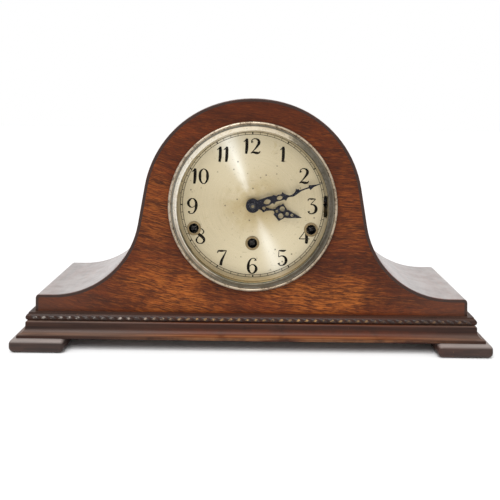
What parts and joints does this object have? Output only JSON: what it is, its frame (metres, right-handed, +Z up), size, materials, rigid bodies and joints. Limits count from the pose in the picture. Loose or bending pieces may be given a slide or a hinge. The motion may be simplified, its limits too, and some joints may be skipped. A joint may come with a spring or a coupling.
{
  "type": "tambour mantel clock",
  "caption": "Hump-backed wooden mantel clock with a brass bezel, domed glass, pierced hands, stepped base and runner feet; its bezel and back door open onto the movement.",
  "frame": {"origin": "on the floor, under the middle of the whole clock's box", "axes": "+X to the viewer's right along the case, the dial faces -Y, +Z up"},
  "size_m": [0.4382, 0.132, 0.2329],
  "materials": {
    "oak_veneer": "polished reddish-brown oak veneer",
    "dark_moulding": "dark stained and polished hardwood",
    "base_wood": "stained plain wood",
    "hinge_brass": "worn brass",
    "dial_silver": "silvered, brushed in rings",
    "brass": "polished brass with light tarnish",
    "glass": "clear domed glass",
    "blued_steel": "blued steel",
    "brass_wheel": "cut and polished brass",
    "plate_brass": "brushed plate brass",
    "steel": "bright steel",
    "hammer_steel": "dull steel",
    "gong_iron": "black painted cast iron"
  },
  "bodies": {
    "root": {"base_board": "base_wood", "front_panel": "oak_veneer", "case_skin": "oak_veneer", "back_frame": "base_wood", "bead_moulding_front": "dark_moulding", "bead_moulding_sides": "dark_moulding", "plinth_moulding_front": "dark_moulding", "plinth_moulding_sides": "dark_moulding", "left_foot": "dark_moulding", "right_foot": "dark_moulding", "door_frame_leaves": "hinge_brass", "turn_button_screw": "hinge_brass", "dial_plate": "dial_silver", "winding_collets": "brass", "bezel_mount": "brass", "bezel_hinge_pin": "brass", "front_plate": "plate_brass", "back_plate": "plate_brass", "plate_pillars": "plate_brass", "movement_posts": "steel", "movement_screws": "steel", "suspension_cock": "plate_brass", "hammer_arbor": "steel", "gong_block": "gong_iron", "gong_rods": "steel"},
    "bezel": {"bezel_ring": "brass", "bezel_glass": "glass"},
    "door": {"back_door": "base_wood", "door_leaves": "hinge_brass"},
    "button": {"turn_button": "hinge_brass"},
    "minute": {"centre_wheel": "brass_wheel", "cannon_pinion": "brass_wheel", "minute_hand": "blued_steel", "hand_nut": "brass_wheel"},
    "hour": {"hour_wheel": "brass_wheel", "hour_hand": "blued_steel"},
    "minute_work": {"minute_wheel": "brass_wheel"},
    "intermediate": {"intermediate_wheel": "brass_wheel"},
    "going_drum": {"going_barrel": "brass_wheel"},
    "third": {"third_wheel": "brass_wheel"},
    "escape": {"escape_wheel": "brass_wheel"},
    "pendulum": {"pendulum_rod": "steel", "pendulum_bob": "brass_wheel", "rating_nut": "brass_wheel"},
    "pallets": {"anchor": "steel"},
    "going_winding": {"going_winding_arbor": "steel"},
    "strike_winding": {"strike_winding_arbor": "steel"},
    "chime_winding": {"chime_winding_arbor": "steel"},
    "going_pawl": {"going_click": "steel"},
    "strike_pawl": {"strike_click": "steel"},
    "chime_pawl": {"chime_click": "steel"},
    "strike_drum": {"strike_barrel": "brass_wheel"},
    "strike_pins": {"strike_wheel": "brass_wheel"},
    "chime_spring_drum": {"chime_barrel": "brass_wheel"},
    "chime_pins": {"chime_drum": "brass_wheel"},
    "hammer_1": {"chime_hammer_1": "hammer_steel"},
    "hammer_2": {"chime_hammer_2": "hammer_steel"},
    "hammer_3": {"chime_hammer_3": "hammer_steel"},
    "hammer_4": {"chime_hammer_4": "hammer_steel"},
    "chime_lever": {"chime_silent_lever": "brass"}
  },
  "joints": [
    {"name": "bezel_hinge", "type": "hinge", "parent": "root", "child": "bezel", "pos_m": [0.0773, -0.0497, 0.133], "axis": [0, 0, 1], "range_deg": [0, 100]},
    {"name": "door_hinge", "type": "hinge", "parent": "root", "child": "door", "pos_m": [-0.086, 0.0641, 0.0864], "axis": [0, 0, 1], "range_deg": [0, 110]},
    {"name": "button_turn", "type": "hinge", "parent": "root", "child": "button", "pos_m": [0.0915, 0.0632, 0.0929], "axis": [0, -1, 0], "range_deg": [0, 90]},
    {"name": "minute_turn", "type": "hinge", "parent": "root", "child": "minute", "pos_m": [0, 0, 0.133], "axis": [0, 1, 0], "continuous": true},
    {"name": "hour_turn", "type": "hinge", "parent": "root", "child": "hour", "pos_m": [0, 0, 0.133], "axis": [0, 1, 0], "continuous": true},
    {"name": "minute_work_turn", "type": "hinge", "parent": "root", "child": "minute_work", "pos_m": [-0.018, 0, 0.133], "axis": [0, 1, 0], "continuous": true},
    {"name": "intermediate_turn", "type": "hinge", "parent": "root", "child": "intermediate", "pos_m": [0.0162, 0, 0.11964], "axis": [0, 1, 0], "continuous": true},
    {"name": "going_drum_turn", "type": "hinge", "parent": "root", "child": "going_drum", "pos_m": [0, 0, 0.0968], "axis": [0, 1, 0], "continuous": true},
    {"name": "third_turn", "type": "hinge", "parent": "root", "child": "third", "pos_m": [0.0095, 0, 0.14958], "axis": [0, 1, 0], "continuous": true},
    {"name": "escape_turn", "type": "hinge", "parent": "root", "child": "escape", "pos_m": [0, 0, 0.16344], "axis": [0, 1, 0], "continuous": true},
    {"name": "pendulum_swing", "type": "hinge", "parent": "root", "child": "pendulum", "pos_m": [0, 0, 0.17754], "axis": [0, 1, 0], "range_deg": [-4, 4]},
    {"name": "pallet_swing", "type": "hinge", "parent": "root", "child": "pallets", "pos_m": [0, 0, 0.17754], "axis": [0, 1, 0], "range_deg": [-4, 4]},
    {"name": "going_wind", "type": "hinge", "parent": "root", "child": "going_winding", "pos_m": [0, 0, 0.0968], "axis": [0, 1, 0], "continuous": true},
    {"name": "strike_wind", "type": "hinge", "parent": "root", "child": "strike_winding", "pos_m": [-0.055, 0, 0.1101], "axis": [0, 1, 0], "continuous": true},
    {"name": "chime_wind", "type": "hinge", "parent": "root", "child": "chime_winding", "pos_m": [0.055, 0, 0.1101], "axis": [0, 1, 0], "continuous": true},
    {"name": "going_click_lift", "type": "hinge", "parent": "root", "child": "going_pawl", "pos_m": [-0.00552, 0, 0.11412], "axis": [0, -1, 0], "range_deg": [0, 10], "stiffness_Nm_per_rad": 0.001},
    {"name": "strike_click_lift", "type": "hinge", "parent": "root", "child": "strike_pawl", "pos_m": [-0.06052, 0, 0.12742], "axis": [0, -1, 0], "range_deg": [0, 10], "stiffness_Nm_per_rad": 0.001},
    {"name": "chime_click_lift", "type": "hinge", "parent": "root", "child": "chime_pawl", "pos_m": [0.04948, 0, 0.12742], "axis": [0, -1, 0], "range_deg": [0, 10], "stiffness_Nm_per_rad": 0.001},
    {"name": "strike_drum_turn", "type": "hinge", "parent": "root", "child": "strike_drum", "pos_m": [-0.055, 0, 0.1101], "axis": [0, 1, 0], "continuous": true},
    {"name": "strike_pins_turn", "type": "hinge", "parent": "root", "child": "strike_pins", "pos_m": [-0.03146, 0, 0.09493], "axis": [0, 1, 0], "continuous": true},
    {"name": "chime_spring_drum_turn", "type": "hinge", "parent": "root", "child": "chime_spring_drum", "pos_m": [0.055, 0, 0.1101], "axis": [0, 1, 0], "continuous": true},
    {"name": "chime_pins_turn", "type": "hinge", "parent": "root", "child": "chime_pins", "pos_m": [0.03146, 0, 0.09493], "axis": [0, 1, 0], "continuous": true},
    {"name": "hammer_1_lift", "type": "hinge", "parent": "root", "child": "hammer_1", "pos_m": [0.05, 0, 0.074], "axis": [0, -1, 0], "range_deg": [0, 12]},
    {"name": "hammer_2_lift", "type": "hinge", "parent": "root", "child": "hammer_2", "pos_m": [0.05, 0, 0.074], "axis": [0, -1, 0], "range_deg": [0, 12]},
    {"name": "hammer_3_lift", "type": "hinge", "parent": "root", "child": "hammer_3", "pos_m": [0.05, 0, 0.074], "axis": [0, -1, 0], "range_deg": [0, 12]},
    {"name": "hammer_4_lift", "type": "hinge", "parent": "root", "child": "hammer_4", "pos_m": [0.05, 0, 0.074], "axis": [0, -1, 0], "range_deg": [0, 12]},
    {"name": "chime_lever_turn", "type": "hinge", "parent": "root", "child": "chime_lever", "pos_m": [0.038, 0, 0.1318], "axis": [0, 1, 0], "range_deg": [0, 26]}
  ],
  "couplings": [
    {"joint": "hour_turn", "follows": "minute_turn", "ratio": 0.083333},
    {"joint": "minute_work_turn", "follows": "minute_turn", "ratio": -0.33333},
    {"joint": "intermediate_turn", "follows": "minute_turn", "ratio": -0.16667},
    {"joint": "going_drum_turn", "follows": "minute_turn", "ratio": 0.027778},
    {"joint": "third_turn", "follows": "minute_turn", "ratio": -12},
    {"joint": "escape_turn", "follows": "minute_turn", "ratio": 132},
    {"joint": "pallet_swing", "follows": "pendulum_swing", "ratio": 1},
    {"joint": "strike_pins_turn", "follows": "strike_drum_turn", "ratio": -6},
    {"joint": "chime_pins_turn", "follows": "chime_spring_drum_turn", "ratio": -6}
  ]
}
